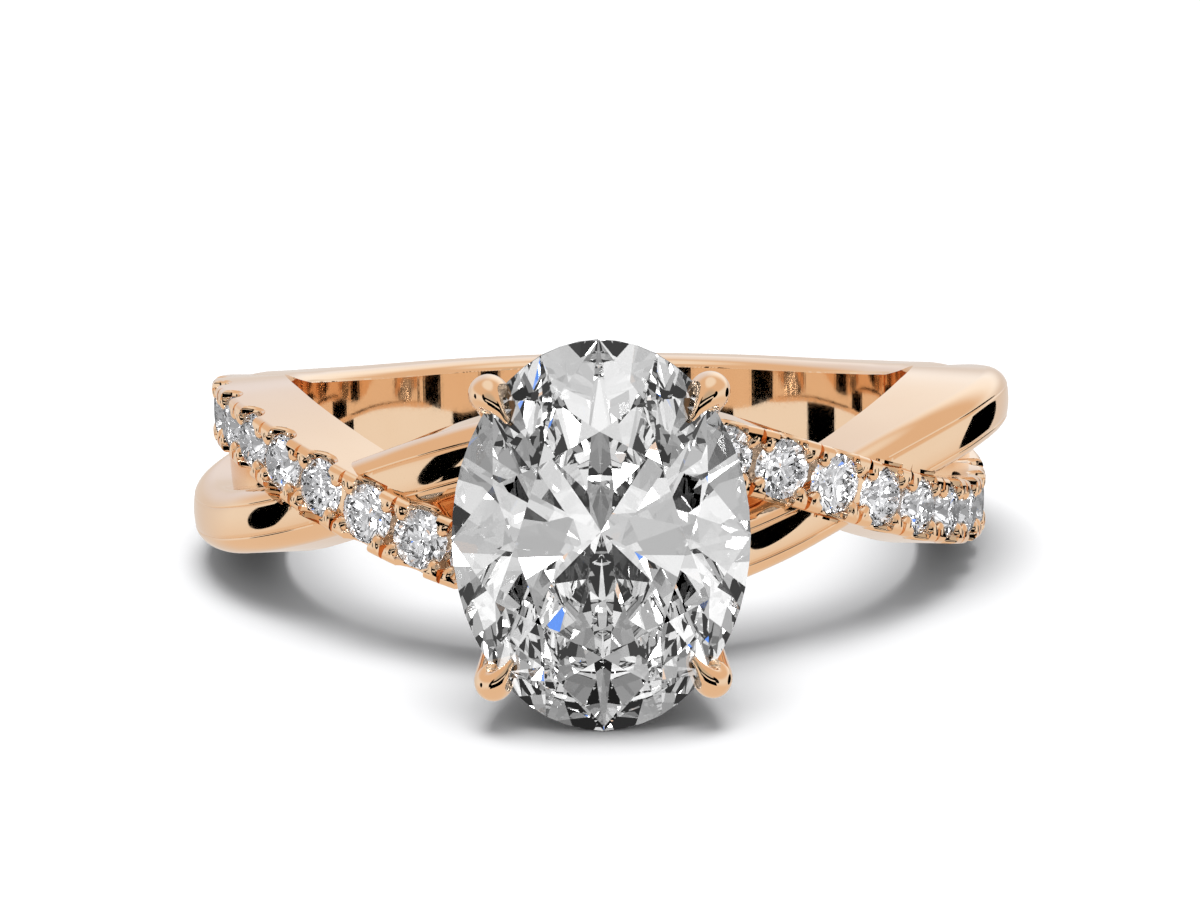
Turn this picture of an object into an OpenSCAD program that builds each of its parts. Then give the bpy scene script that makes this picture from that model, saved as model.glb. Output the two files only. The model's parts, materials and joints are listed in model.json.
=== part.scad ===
// Crossover engagement ring with an oval centre stone.
// The ring is drawn about its finger axis (Z), with the stone towards -Y, and then laid on its
// side as it rests by itself: on the lower tip of the stone and the edge of the shank's back.
// Azimuths are in degrees from the stone, positive towards +X.

/* [Finger hole] */
// Inside diameter of the ring
bore_d = 17.3; // [16.5:0.1:18]

/* [Strands] */
// Half width of the plain strand below its rounded edges
plain_half = 0.84; // [0.76:0.02:0.92]
// Radius of the plain strand's soft edges
plain_edge_r = 0.60; // [0.4:0.05:0.7]
// How far round the soft edge turns before the crease
plain_edge_turn = 72; // [50:2:84]
// Half width of the stone set strand at its stones
pave_half = 0.85; // [0.8:0.01:0.9]
// Outer radius of the metal between two small stones
pave_bead_r = 10.62; // [10.5:0.02:10.8]
// Radius down to which the side wall is scalloped beside a small stone
pave_dip_r = 10.02; // [9.8:0.02:10.2]
// Radius of the metal along the middle of the stone set strand
pave_floor_r = 10.22; // [10:0.02:10.4]

/* [Small stones] */
// Diameter of a small stone
melee_d = 1.5; // [1.3:0.02:1.54]
// Stones along each stone set strand
melee_count = 9; // [6:1:9]
// Azimuth of the stone nearest the head
melee_first = 16.8; // [15:0.1:20]
// Azimuth between neighbouring stones
melee_step = 8.65; // [8.5:0.05:9]
// Radius from the finger axis to the small stones' girdles
melee_girdle_r = 10.36; // [10.3:0.02:10.45]

/* [Centre stone] */
// Width of the oval stone, across the finger
oval_w = 6.86; // [6:0.02:7.2]
// Length of the oval stone, along the finger
oval_l = 9.12; // [8:0.02:9.6]
// Distance from the finger axis to the top of the oval stone's girdle
oval_girdle_y = 13.75; // [13.2:0.05:14.4]
// Height of the oval stone's crown
oval_crown = 0.98; // [0.8:0.02:1.2]
// Depth of the oval stone's pavilion
oval_pavilion = 2.95; // [2.6:0.05:3.1]
// Thickness of the oval stone's girdle
oval_girdle = 0.16; // [0.1:0.02:0.3]

/* [Claws] */
// Diameter of a claw where it bends over the stone
claw_d = 0.92; // [0.8:0.02:1.1]
// Diameter of a claw where it leaves the strand
claw_root_d = 1.15; // [1:0.05:1.3]
// Distance of a claw's middle outside the stone's edge
claw_out = 0.36; // [0.18:0.02:0.4]
// How far a claw reaches in over the stone's edge
claw_reach = 0.54; // [0.4:0.02:0.8]
// Diameter of a claw's point
claw_tip_d = 0.24; // [0.16:0.02:0.4]
// Clearance between the metal and a stone
seat_gap = 0.03; // [0.02:0.01:0.06]

/* [Hidden] */
side_names = ["left", "right"];

bore_r = bore_d / 2;
inner_r = bore_r - 0.35;     // the strands start inside the finger hole and are bored out
gold = "#E8B98C";
diamond = "#E6EAF0";

// Path of a strand: azimuth, height of its centre line along the finger, half width at the finger
AZ = 0;
LIFT = 1;
FOOT = 2;
PATH = [
    [0, 1.60, 0.96], [9, 1.50, 0.96], [17, 1.24, 0.96], [26, 0.78, 0.96], [34, 0.30, 0.96],
    [43, -0.23, 0.96], [51, -0.65, 0.96], [60, -1.03, 0.96], [69, -1.29, 0.96],
    [80, -1.38, 0.92], [92, -1.24, 0.82], [104, -0.98, 0.66], [116, -0.72, 0.50],
    [128, -0.55, 0.40],
];
// Outer face of the plain strand: azimuth, radius
PLAIN = [
    [0, 10.25], [20, 10.32], [41, 10.36], [52, 10.60], [64, 10.95], [78, 11.17], [90, 11.16],
    [104, 10.80], [116, 10.30], [128, 9.8],
];
// Back of the shank: azimuth, half width, radius
HALF_W = 1;
BACK_R = 2;
BACK = [
    [78, 0.90, 8.80], [88, 1.50, 9.85], [96, 1.88, 10.50], [106, 1.86, 10.72],
    [118, 1.68, 10.62], [135, 1.50, 10.40], [155, 1.44, 10.30], [180, 1.43, 10.28],
];

// Cut of the stones, as shares of a stone's width
table_share = 0.57;
star_share = 0.77;
lower_share = 0.24;
mains = 8;                   // main facets round the crown, and round the pavilion
melee_crown = 0.15 * melee_d;
melee_girdle = 0.03 * melee_d;
melee_pavilion = 0.43 * melee_d;
oval_turns = 3;              // straight pieces of the girdle along half a main facet

// Azimuths of the sections, in degrees
strand_end = 120;
row_end = melee_first + (melee_count - 0.5) * melee_step;
plain_step = 4;
pave_start = -5.3;
stone_steps = 6;             // sections of the stone set strand from stone to stone
back_start = 80.5;
back_step = (360 - 2 * back_start) / 40;

// Section of the stone set strand
rim_w = 0.26;                // thickness of its side wall at the top
rim_bevel = 0.08;
channel_w = 0.36;            // thickness of the wall at the channel's floor
channel_dip = 0.3;           // how much deeper the floor is under a stone
tail_drop = 0.55;            // how far it sinks into the back behind its last post
foot_apart = [0.02, 0.07];   // sets its foot off from the plain strand's, which it would meet

// Section of the back
back_foot = [0.30, 0.13];
back_ease = [0.26, 0.05];    // start of the eased inner edge: in from the side, above the finger
back_ease_end = [0.04, 0.45];
back_round = [[0.10, 0.42], [0.38, 0.14]]; // rounded outer edge: in from the side, below the outside
back_flat = [0.45, 0.02];    // end of the outer face: share of the half width, below the outside
plain_edge_steps = 3;

seat_sides = 12;
seat_open = 1;               // a small stone's seat is open this far above its girdle
claw_sides = 16;
claw_tip_sides = 8;
claw_neck = 0.97;            // a claw's width just under its bend, as a share of the bend's
claw_root_x = 1.55;          // the claws stand on the strands beside the stone's point
claw_root_y = 9.9;
claw_bend_drop = 0.12;       // the bend is this far below the girdle's top
claw_tip_rise = 0.50;        // and the point this far above it
bore_long = 12;

// Smooth curve through a table's rows, flat beyond its ends
function row_of(table, a, i = 0) =
    i >= len(table) - 2 || a < table[i + 1][AZ] ? i : row_of(table, a, i + 1);
function tangent(table, i, col) =
    i <= 0 || i >= len(table) - 1 ? 0
    : (table[i + 1][col] - table[i - 1][col]) / (table[i + 1][AZ] - table[i - 1][AZ]);
function smooth(table, a, col) =
    let (
        x = min(max(a, table[0][AZ]), table[len(table) - 1][AZ]),
        i = row_of(table, x),
        span = table[i + 1][AZ] - table[i][AZ],
        t = (x - table[i][AZ]) / span
    )
    (2 * pow(t, 3) - 3 * t * t + 1) * table[i][col]
    + (pow(t, 3) - 2 * t * t + t) * span * tangent(table, i, col)
    + (3 * t * t - 2 * pow(t, 3)) * table[i + 1][col]
    + (pow(t, 3) - t * t) * span * tangent(table, i + 1, col);

function lift(a) = smooth(PATH, abs(a), LIFT);
function rise(a) = (lift(a + 1) - lift(a - 1)) / (2 * PI / 180 * melee_girdle_r);
// A width measured square to the strand, as seen along the finger
function widen(a) = sqrt(1 + rise(a) * rise(a));

function at(a, r, z) = [r * sin(a), -r * cos(a), z];

// The ring lies on the stone's lower tip and on the widest line of the back, head tipped up
tip_y = oval_girdle_y - oval_girdle;
tip_z = oval_l / 2;
heel_y = (bore_r + smooth(BACK, 180, BACK_R)) / 2;
heel_z = smooth(BACK, 180, HALF_W);
rest_tilt = atan((tip_z - heel_z) / (tip_y + heel_y));
rest_lift = tip_z * cos(rest_tilt) - tip_y * sin(rest_tilt);
front_y = (oval_girdle_y + oval_crown) * cos(rest_tilt) + table_share * tip_z * sin(rest_tilt);
rear_y = smooth(BACK, 180, BACK_R) * cos(rest_tilt) + heel_z / 2 * sin(rest_tilt);
rest_shift = (front_y - rear_y) / 2;

// Solid through rings of points, all with the same number of points
module loft(rings) {
    n = len(rings[0]);
    last = len(rings) - 1;
    polyhedron(
        points = [for (ring = rings, p = ring) p],
        faces = concat(
            [[for (j = [0 : n - 1]) j]],
            [for (i = [0 : last - 1], j = [0 : n - 1], half = [0, 1])
                let (k = (j + 1) % n)
                half == 0
                    ? [i * n + j, (i + 1) * n + j, (i + 1) * n + k]
                    : [i * n + j, (i + 1) * n + k, i * n + k]],
            [[for (j = [n - 1 : -1 : 0]) last * n + j]]
        )
    );
}

function mirrored(half) = concat(
    half,
    [for (i = [len(half) - 1 : -1 : 0]) if (half[i][0] != 0) [-half[i][0], half[i][1]]]
);

// Half of the plain strand's section, from the finger out: offset across, radius
function plain_half_section(a, r) = concat(
    [[smooth(PATH, abs(a), FOOT), inner_r]],
    [for (turn = [0 : plain_edge_turn / plain_edge_steps : plain_edge_turn])
        [plain_half - plain_edge_r * (1 - cos(turn)),
         r - plain_edge_r * (sin(plain_edge_turn) - sin(turn))]]
);

// Share of the way from a small stone (0) to the metal between two stones (1)
function between_stones(a) =
    let (
        n = (a - melee_first) / melee_step,
        inside = n > -0.5 && n < melee_count - 0.5
    )
    inside ? (1 - cos(360 * n)) / 2 : 1;

// Half of the stone set strand's section at an azimuth
function pave_half_section(a) =
    let (
        share = between_stones(a),
        tail = a < row_end ? 0 : tail_drop * pow((a - row_end) / (strand_end - row_end), 2),
        rim = pave_dip_r + (pave_bead_r - pave_dip_r) * share - tail
    )
    [
        [smooth(PATH, abs(a), FOOT) + foot_apart[0], inner_r - foot_apart[1]],
        [pave_half, rim - rim_bevel],
        [pave_half - rim_bevel, rim],
        [pave_half - rim_w, rim],
        [pave_half - channel_w, pave_floor_r - channel_dip * (1 - share)],
    ];

function ring_at(half, a) = [for (p = mirrored(half)) at(a, p[1], lift(a) + p[0] * widen(a))];

module plain_strand() {
    loft([for (a = [-strand_end : plain_step : plain_step]) ring_at(
        plain_half_section(a, smooth(PLAIN, abs(a), 1)), a)]);
}

module pave_strand() {
    stations = concat(
        [for (a = [pave_start : plain_step : melee_first - 0.6 * melee_step]) a],
        [for (i = [-stone_steps / 2 : stone_steps * (melee_count - 0.5)])
            melee_first + i * melee_step / stone_steps],
        [for (a = [row_end + plain_step : plain_step : strand_end]) a]
    );
    loft([for (a = stations) ring_at(pave_half_section(a), a)]);
}

// Half of the back's rounded section
function back_half_section(w, r) = [
    [w - back_foot[0], inner_r - back_foot[1]],
    [w - back_ease[0], bore_r + back_ease[1]],
    [w - back_ease_end[0], bore_r + back_ease_end[1]],
    [w, (bore_r + r) / 2],
    for (step = back_round) [w - step[0], r - step[1]],
    [w * back_flat[0], r - back_flat[1]],
];

module back() {
    loft([for (a = [back_start : back_step : 360 - back_start + 0.01])
        let (b = min(a, 360 - a))
        [for (p = mirrored(back_half_section(smooth(BACK, b, HALF_W), smooth(BACK, b, BACK_R))))
            at(a, p[1], p[0])]]);
}

// Brilliant cut: table up, girdle top at the origin, unit radii scaled to the stone. Every facet
// is flat, so the girdle's edges dip in scallops where its facets meet the round outline.
// turns is the number of straight pieces in each girdle facet's edge.
module brilliant(w, l, crown, girdle, pavilion, turns = 1) {
    half = 180 / mains;
    n = 2 * mains * turns;
    last = mains - 1;
    function spot(r, angle, z) = [r * w / 2 * cos(angle), r * l / 2 * sin(angle), z];
    star_z = crown * (1 - star_share * cos(half)) / (1 - table_share);
    lower_z = -girdle - pavilion * (1 - lower_share * cos(half));
    // How far the outline bulges over a facet's straight edge, against the facet's length inwards
    function bulge(i, share) =
        (cos((i % turns) * half / turns - half / 2) / cos(half / 2) - 1) / (1 - share);
    points = concat(
        [for (i = [0 : last]) spot(table_share, 2 * half * i, crown)],
        [for (i = [0 : last]) spot(star_share, half * (2 * i + 1), star_z)],
        [for (i = [0 : n - 1]) spot(1, 360 * i / n, -star_z * bulge(i, star_share))],
        [for (i = [0 : n - 1]) spot(1, 360 * i / n, -girdle - (lower_z + girdle) * bulge(i, lower_share))],
        [for (i = [0 : last]) spot(lower_share, half * (2 * i + 1), lower_z)],
        [[0, 0, -girdle - pavilion]]
    );
    T = 0;
    S = T + mains;
    U = S + mains;
    D = U + n;
    L = D + n;
    C = L + mains;
    faces = concat(
        [[for (i = [last : -1 : 0]) T + i]],
        [for (i = [0 : last]) [T + i, T + (i + 1) % mains, S + i]],
        [for (i = [0 : last]) [T + i, S + i, U + 2 * turns * i, S + (i + last) % mains]],
        [for (i = [0 : last], j = [0 : 2 * turns - 1])
            [S + i, U + (2 * turns * i + j + 1) % n, U + 2 * turns * i + j]],
        [for (i = [0 : n - 1]) [U + i, U + (i + 1) % n, D + (i + 1) % n, D + i]],
        [for (i = [0 : last], j = [0 : 2 * turns - 1])
            [L + i, D + 2 * turns * i + j, D + (2 * turns * i + j + 1) % n]],
        [for (i = [0 : last]) [C, L + (i + last) % mains, D + 2 * turns * i, L + i]]
    );
    polyhedron(points = points, faces = faces);
}

module oval_in_place() {
    translate([0, -oval_girdle_y, 0]) rotate([90, 0, 0])
        brilliant(oval_w, oval_l, oval_crown, oval_girdle, oval_pavilion, oval_turns);
}

function melee_azimuth(i) = melee_first + (i - 1) * melee_step;

module at_melee(i) {
    a = melee_azimuth(i);
    translate(at(a, melee_girdle_r, lift(a))) rotate([90, 0, a]) children();
}

module small_stone(i) {
    at_melee(i) brilliant(melee_d, melee_d, melee_crown, melee_girdle, melee_pavilion);
}

module small_seat(i) {
    r = (melee_d / 2 + seat_gap) / cos(180 / seat_sides);
    floor_z = -melee_girdle - seat_gap;
    depth = melee_pavilion + 2 * seat_gap;
    at_melee(i) rotate([0, 0, 180 / seat_sides]) rotate_extrude($fn = seat_sides)
        polygon([[0, floor_z - depth], [r, floor_z], [r, seat_open], [0, seat_open]]);
}

// Round bar between two points
module bar(p, q, r1, r2) {
    d = q - p;
    h = norm(d);
    translate(p) rotate([0, acos(d[2] / h), atan2(d[1], d[0])])
        cylinder(h = h, r1 = r1, r2 = r2, $fn = claw_sides);
}

// Claw at the corner of the oval towards sx, sz
module claw(sx, sz) {
    rim = [oval_w / 2 * cos(45), oval_l / 2 * sin(45)];
    away = rim / norm(rim);
    bend_xz = rim + away * claw_out;
    tip_xz = rim - away * claw_reach;
    root = [sx * claw_root_x, -claw_root_y, sz * lift(atan2(claw_root_x, claw_root_y))];
    bend = [sx * bend_xz[0], -oval_girdle_y + claw_bend_drop, sz * bend_xz[1]];
    tip = [sx * tip_xz[0], -oval_girdle_y - claw_tip_rise, sz * tip_xz[1]];
    bar(root, bend, claw_root_d / 2, claw_neck * claw_d / 2);
    hull() {
        translate(bend) sphere(d = claw_d, $fn = claw_sides);
        translate(tip) sphere(d = claw_tip_d, $fn = claw_tip_sides);
    }
}

module half_turn() {
    children();
    rotate([0, 180, 0]) children();
}

// The casting, with the strands, the back and the claws merged in one shell and the seats cut
module casting() {
    resize([0, 0, 0]) difference() {
        union() {
            half_turn() plain_strand();
            half_turn() pave_strand();
            back();
            for (sx = [-1, 1], sz = [-1, 1]) claw(sx, sz);
        }
        half_turn() for (i = [1 : melee_count]) small_seat(i);
        translate([0, -oval_girdle_y, 0]) rotate([90, 0, 0])
            brilliant(oval_w + 2 * seat_gap, oval_l + 2 * seat_gap, oval_crown + seat_gap,
                      oval_girdle + seat_gap, oval_pavilion + seat_gap, oval_turns);
    }
}

module band_in_place() {
    difference() {
        casting();
        cylinder(h = bore_long, r = bore_r, center = true, $fn = 180);
    }
}

module at_rest() {
    translate([0, rest_shift, rest_lift]) rotate([-rest_tilt, 0, 0]) children();
}

module band() {
    color(gold) at_rest() band_in_place();
}

module centre_stone() {
    color(diamond) at_rest() oval_in_place();
}

module melee(side, i) {
    color(diamond) at_rest() rotate([0, side == "left" ? 180 : 0, 0]) small_stone(i);
}

band();
centre_stone();
for (side = side_names, i = [1 : melee_count])
    melee(side, i);
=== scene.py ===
# %% [markdown]
# # A crossover engagement ring in polished rose gold
# The ring lies on its side on a pale surface. It is held by two strands of metal that cross on
# both shoulders and run apart again around the head, where four claws hold an oval stone. One
# half of each strand is plain and the other carries nine small stones.
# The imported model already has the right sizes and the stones. This lesson gives the stones
# their finish and models the metal again, fine enough to mirror a studio.

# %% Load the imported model
import math

import bmesh
import bpy
from mathutils import Matrix, Vector
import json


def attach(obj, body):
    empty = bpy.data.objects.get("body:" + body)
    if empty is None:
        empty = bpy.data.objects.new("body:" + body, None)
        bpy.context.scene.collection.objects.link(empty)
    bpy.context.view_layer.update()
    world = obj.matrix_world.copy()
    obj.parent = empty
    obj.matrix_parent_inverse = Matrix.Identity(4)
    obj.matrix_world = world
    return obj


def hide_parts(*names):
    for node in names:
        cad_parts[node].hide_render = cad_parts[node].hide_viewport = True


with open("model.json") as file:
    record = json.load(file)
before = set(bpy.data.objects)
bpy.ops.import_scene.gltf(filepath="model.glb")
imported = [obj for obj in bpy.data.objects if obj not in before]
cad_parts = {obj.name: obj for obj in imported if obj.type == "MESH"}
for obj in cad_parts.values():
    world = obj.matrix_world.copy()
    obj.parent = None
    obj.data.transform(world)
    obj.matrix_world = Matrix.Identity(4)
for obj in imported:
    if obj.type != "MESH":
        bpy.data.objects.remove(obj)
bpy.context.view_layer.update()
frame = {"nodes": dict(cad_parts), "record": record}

# %% [markdown]
# ## Where the ring is
# A jeweller thinks of a ring about its finger axis, so the metal is drawn that way: Z along the
# finger, the stone towards -Y, and azimuths in degrees from the stone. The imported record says
# where the finger hole is, and that turns the drawing into the place where the ring rests.

# %% The ring's own axes
MM = 0.001
finger = next(m for m in frame["record"]["mounts"] if m["name"] == "finger")
BORE_R = finger["dims"]["r_mm"]
finger_axis = Vector(finger["axis"]).normalized()
laid_down = Vector((0, 0, 1)).rotation_difference(finger_axis).to_matrix().to_4x4()
RING_TO_FRAME = Matrix.Translation(finger["pos_m"]) @ laid_down @ Matrix.Diagonal((MM, MM, MM, 1))
REST_TILT = math.atan2(finger_axis.y, finger_axis.z)
print("finger hole radius, mm:", BORE_R, "rest tilt, degrees:", round(math.degrees(REST_TILT), 2))

# %% [markdown]
# ## The path of a strand
# Seen along the finger a strand is a plain arc, so only its height along the finger changes. A
# short table of azimuths and heights and a smooth curve through them give that path. Two more
# tables give the outside of the plain strand and of the back. Each row is a place where a
# maker would measure the ring.

# %% Tables and the smooth curve through them
# azimuth, height of the strand's middle along the finger, half width at the finger
PATH = [
    (0, 1.60, 0.96), (9, 1.50, 0.96), (17, 1.24, 0.96), (26, 0.78, 0.96), (34, 0.30, 0.96),
    (43, -0.23, 0.96), (51, -0.65, 0.96), (60, -1.03, 0.96), (69, -1.29, 0.96),
    (80, -1.38, 0.92), (92, -1.24, 0.82), (104, -0.98, 0.66), (116, -0.72, 0.50),
    (128, -0.55, 0.40),
]
# azimuth, outer radius of the plain strand
PLAIN = [
    (0, 10.25), (20, 10.32), (41, 10.36), (52, 10.60), (64, 10.95), (78, 11.17), (90, 11.16),
    (104, 10.80), (116, 10.30), (128, 9.80),
]
# azimuth, half width of the back, radius of the back
BACK = [
    (78, 0.90, 8.80), (88, 1.50, 9.85), (96, 1.88, 10.50), (106, 1.86, 10.72),
    (118, 1.68, 10.62), (135, 1.50, 10.40), (155, 1.44, 10.30), (180, 1.43, 10.28),
]
# the columns after the azimuth
HEIGHT, FOOT = 1, 2
PLAIN_R = 1
HALF_WIDTH, BACK_R = 1, 2


def slope(table, i, column):
    """The slope between a row's neighbours, level at the table's ends."""
    if i in (0, len(table) - 1):
        return 0.0
    return (table[i + 1][column] - table[i - 1][column]) / (table[i + 1][0] - table[i - 1][0])


def smooth(table, azimuth, column):
    """A smooth curve through a table's rows, level beyond its ends."""
    x = min(max(azimuth, table[0][0]), table[-1][0])
    i = max(k for k in range(len(table) - 1) if k == 0 or table[k][0] <= x)
    span = table[i + 1][0] - table[i][0]
    t = (x - table[i][0]) / span
    return ((2 * t**3 - 3 * t**2 + 1) * table[i][column]
            + (t**3 - 2 * t**2 + t) * span * slope(table, i, column)
            + (3 * t**2 - 2 * t**3) * table[i + 1][column]
            + (t**3 - t**2) * span * slope(table, i + 1, column))


def height(azimuth):
    return smooth(PATH, abs(azimuth), HEIGHT)


def place(azimuth, radius, z):
    """A point round the finger's axis, z along it."""
    a = math.radians(azimuth)
    return Vector((radius * math.sin(a), -radius * math.cos(a), z))


print("strand height at the head and at the shoulder, mm:", height(0), round(height(80), 2))

# %% [markdown]
# ## A skin over sections
# Strands, back and claws are all made in one way: the section is drawn at many places along a
# path, and a skin is laid over the sections, as a boat's planks over its frames. The ends are
# closed, and the normals are made to point outwards.

# %% A mesh through rings of points
SAME_POINT = 1e-6


def loft(name, rings):
    """A closed skin over rings that all have as many points."""
    n = len(rings[0])
    verts = [p for ring in rings for p in ring]
    faces = []
    for i in range(len(rings) - 1):
        for j in range(n):
            k = (j + 1) % n
            faces.append((i * n + j, (i + 1) * n + j, (i + 1) * n + k, i * n + k))
    for ring_start, ring in ((0, rings[0]), ((len(rings) - 1) * n, rings[-1])):
        verts.append(sum(ring, Vector()) / n)
        faces += [(ring_start + (j + 1) % n, ring_start + j, len(verts) - 1) for j in range(n)]
    mesh = bpy.data.meshes.new(name)
    mesh.from_pydata(verts, [], faces)
    tidy(mesh)
    piece = bpy.data.objects.new(name, mesh)
    bpy.context.collection.objects.link(piece)
    return piece


def tidy(mesh):
    """Merge doubled points and turn all faces outwards."""
    bm = bmesh.new()
    bm.from_mesh(mesh)
    bmesh.ops.remove_doubles(bm, verts=bm.verts, dist=SAME_POINT)
    bmesh.ops.recalc_face_normals(bm, faces=bm.faces)
    bm.to_mesh(mesh)
    bm.free()


# %% [markdown]
# ## The two strands
# Each strand is one bar from shoulder to shoulder. On its plain half the section is a band with
# soft edges, a fine crease and a slightly domed face. On the other half it is a channel with
# two upright rims, which later get seats and scallops. Behind the last stone the rims sink into
# the back. The second strand is the first one turned half round the stone's axis.

# %% Sections of a strand
# the plain half: its half width, rounded edges, crease and domed face, in mm and degrees
PLAIN_HALF = 0.84
EDGE_R, EDGE_TURN, EDGE_STEPS = 0.60, 72, 18
GROOVE = 0.022
FACE_DOME, FACE_STEPS = 0.035, 5
# the stone set half: its half width, the rims, their rounding and the floor between them
PAVE_HALF = 0.85
RIM_R, RIM_WALL = 10.62, 0.36
OUTER_ROUND, INNER_ROUND, ROUND_STEPS = 0.20, 0.04, 9
FLOOR_R, FLOOR_STEPS = 9.98, 5
# every section starts inside the finger hole, which is bored last
INSIDE_R = BORE_R - 0.35
# the rims sink between the last post and the strand's end
ROW_END, STRAND_END = 90.3, 120
TAIL_DROP = 0.55


def plain_section(azimuth):
    """Half of the plain section: offset across the strand, radius."""
    r = smooth(PLAIN, abs(azimuth), PLAIN_R)
    turns = [math.radians(EDGE_TURN * i / EDGE_STEPS) for i in range(EDGE_STEPS + 1)]
    top = math.sin(turns[-1])
    half = [(smooth(PATH, abs(azimuth), FOOT), INSIDE_R)]
    half += [(PLAIN_HALF - EDGE_R * (1 - math.cos(t)), r - EDGE_R * (top - math.sin(t))) for t in turns]
    edge = half[-1][0]
    half += [(edge - GROOVE, r - GROOVE), (edge - 2 * GROOVE, r)]
    half += [((edge - 2 * GROOVE) * (1 - i / FACE_STEPS), r + FACE_DOME * (1 - (1 - i / FACE_STEPS) ** 2))
             for i in range(1, FACE_STEPS)]
    return half


def quarter_round(x, r, size, from_turn):
    """A quarter of a circle that rounds the corner at x, r."""
    turns = [math.radians(from_turn + 90 * i / ROUND_STEPS) for i in range(ROUND_STEPS + 1)]
    middle = x - size if from_turn == 0 else x + size
    return [(middle + size * math.cos(t), r - size + size * math.sin(t)) for t in turns]


def pave_section(azimuth):
    """Half of the stone set section, with as many points as the plain one."""
    inner = PAVE_HALF - RIM_WALL
    behind = max(azimuth - ROW_END, 0.0) / (STRAND_END - ROW_END)
    rim = RIM_R - TAIL_DROP * behind ** 2
    half = [(smooth(PATH, abs(azimuth), FOOT), INSIDE_R)]
    half += quarter_round(PAVE_HALF, rim, OUTER_ROUND, 0)
    half += quarter_round(inner, rim, INNER_ROUND, 90)
    half += [(inner * (1 - i / FLOOR_STEPS), FLOOR_R) for i in range(FLOOR_STEPS)]
    return half


print("points of half a section:", len(plain_section(0)), len(pave_section(0)))

# %% [markdown]
# ## From sections to strands
# Under the head the plain section turns into the stone set one, point by point. Where a strand
# climbs along the finger, a cut straight through it is longer than its real width, so each
# section is widened to suit.

# %% One strand, and its twin turned half round
STATION = 0.75
BLEND = 5.0
SLOPE_R = 10.36


def mirrored(half, crown_r):
    return half + [(0.0, crown_r)] + [(-x, r) for x, r in reversed(half)]


def strand_ring(azimuth):
    plain = mirrored(plain_section(azimuth), smooth(PLAIN, abs(azimuth), PLAIN_R) + FACE_DOME)
    pave = mirrored(pave_section(azimuth), FLOOR_R)
    share = min(max(0.5 + azimuth / (2 * BLEND), 0.0), 1.0)
    rise = (height(azimuth + 1) - height(azimuth - 1)) / (math.radians(2) * SLOPE_R)
    widen = math.sqrt(1 + rise * rise)
    return [place(azimuth, r0 + (r1 - r0) * share, height(azimuth) + (x0 + (x1 - x0) * share) * widen)
            for (x0, r0), (x1, r1) in zip(plain, pave)]


stations = int(2 * STRAND_END / STATION)
rings = [strand_ring(-STRAND_END + STATION * i) for i in range(stations + 1)]
metal = loft("ring_metal", rings)
half_turn = Matrix.Rotation(math.pi, 4, "Y")
second_strand = loft("second_strand", [[half_turn @ p for p in ring] for ring in rings])
print("points round a strand:", len(rings[0]), "stations:", len(rings))

# %% [markdown]
# ## The back of the shank
# Behind the shoulders both strands flow into one rounded bar. Its outside is a superellipse,
# flatter than a circle on top and bottom, and its inner edges are eased for the finger.

# %% Sections of the back
BACK_START = 80.5
BACK_INSIDE_R = INSIDE_R - 0.13
BACK_POWER = 2.6
EASE_ACROSS, EASE_DEEP, EASE_STEPS = 0.30, 0.55, 10
ARC_STEPS = 14


def back_ring(azimuth):
    from_stone = min(azimuth, 360 - azimuth)
    w = smooth(BACK, from_stone, HALF_WIDTH)
    r = smooth(BACK, from_stone, BACK_R)
    deep = min(EASE_DEEP, (r - BORE_R) / 2)
    ease = BORE_R + deep
    inner = [(w - EASE_ACROSS, BACK_INSIDE_R)]
    inner += [(w - EASE_ACROSS * (1 - math.sin(t)), ease - deep * math.cos(t))
              for t in (math.pi / 2 * i / EASE_STEPS for i in range(EASE_STEPS + 1))]
    middle = (ease + r) / 2
    power = 2 / BACK_POWER
    outer = [(w * math.cos(t) ** power, middle + (r - middle) * math.sin(t) ** power)
             for t in (math.pi / 2 * i / ARC_STEPS for i in range(ARC_STEPS))]
    return [place(azimuth, radius, x) for x, radius in mirrored(inner + outer, r)]


back_stations = int((360 - 2 * BACK_START) / STATION)
back = loft("back", [back_ring(BACK_START + STATION * i) for i in range(back_stations + 1)])
print("stations of the back:", back_stations + 1)

# %% [markdown]
# ## Four claws
# A claw is a round post soldered on a strand. Above the girdle it swells to a bulb, bends in
# over the stone and is filed to a point. Circles along a bent path make it, with radii that
# follow the same bend.

# %% Claws
OVAL_W, OVAL_L = 6.86, 9.12
GIRDLE_Y = 13.75
# the bend's distance outside the girdle and below it, the point's inside and above
BEND_OUT, BEND_BELOW = 0.42, 0.05
POINT_IN, POINT_ABOVE = 0.52, 0.43
# sideways from the stone's axis, and up from the finger's
CLAW_ROOT = (1.55, 9.9)
# the path's two handles, along the post before and past the bend, and the second a little outwards
BEFORE_BEND, PAST_BEND, BULGE = 0.4, 0.62, 0.02
CLAW_SIDES, CLAW_STEPS = 32, 60
# degrees at which the rings of the round point lie
POINT_TURNS = (30, 60, 85)
CLAW_R = 1
# share of the way from root to point, radius
CLAW_SHAPE = [(0, 0.57), (0.45, 0.47), (0.62, 0.46), (0.71, 0.40), (0.81, 0.28), (0.90, 0.18), (1, 0.08)]


def bezier(path, s):
    """A point on a four point Bezier curve and the direction there."""
    a, b, c, d = path
    point = a * (1 - s) ** 3 + b * 3 * s * (1 - s) ** 2 + c * 3 * s**2 * (1 - s) + d * s**3
    ahead = (b - a) * (1 - s) ** 2 + (c - b) * 2 * s * (1 - s) + (d - c) * s**2
    return point, ahead.normalized()


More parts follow.
